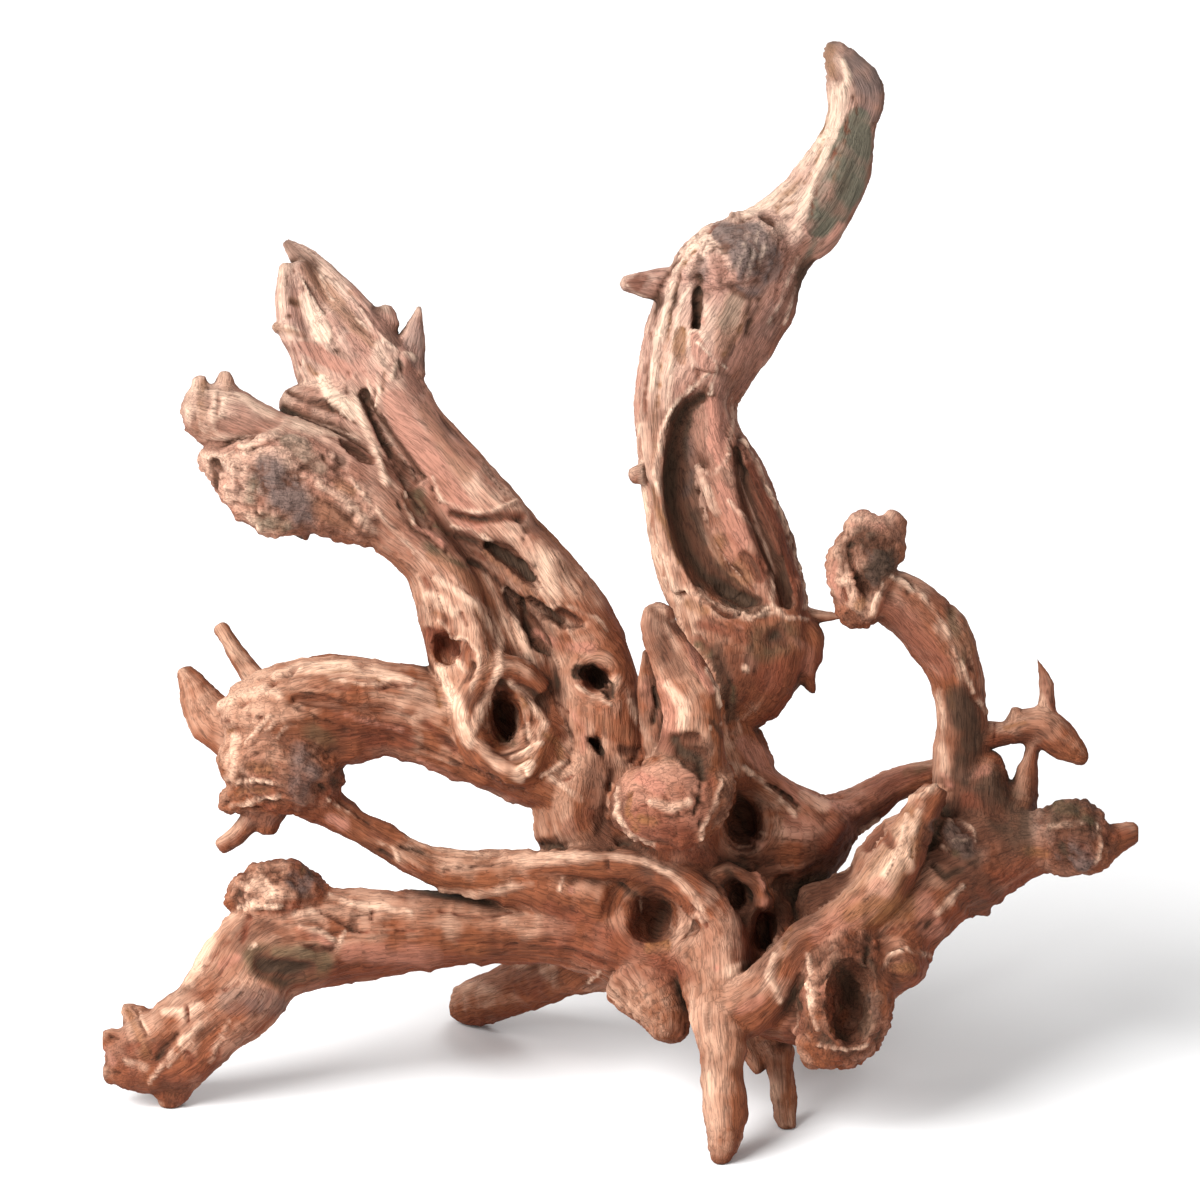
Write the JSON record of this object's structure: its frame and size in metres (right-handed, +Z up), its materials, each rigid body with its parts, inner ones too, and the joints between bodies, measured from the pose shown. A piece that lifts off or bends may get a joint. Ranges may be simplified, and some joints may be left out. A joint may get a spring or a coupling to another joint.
{
  "type": "piece of driftwood",
  "caption": "Bleached, water-worn root stump with a tall hooked limb, broken fibrous strands, an arched side limb, burls, knot holes and stub feet.",
  "frame": {"origin": "middle of the bounding box seen from above, on the floor that the root tips stand on", "axes": "+Z up, -Y towards the viewer of the picture, +X to that viewer's right"},
  "size_m": [0.7759, 0.4178, 0.7419],
  "materials": {
    "driftwood": "bare, weathered, fibrous wood: pinkish tan with pale ridges, brown hollows and grey burls"
  },
  "bodies": {
    "root": {"driftwood": "driftwood"}
  },
  "joints": []
}
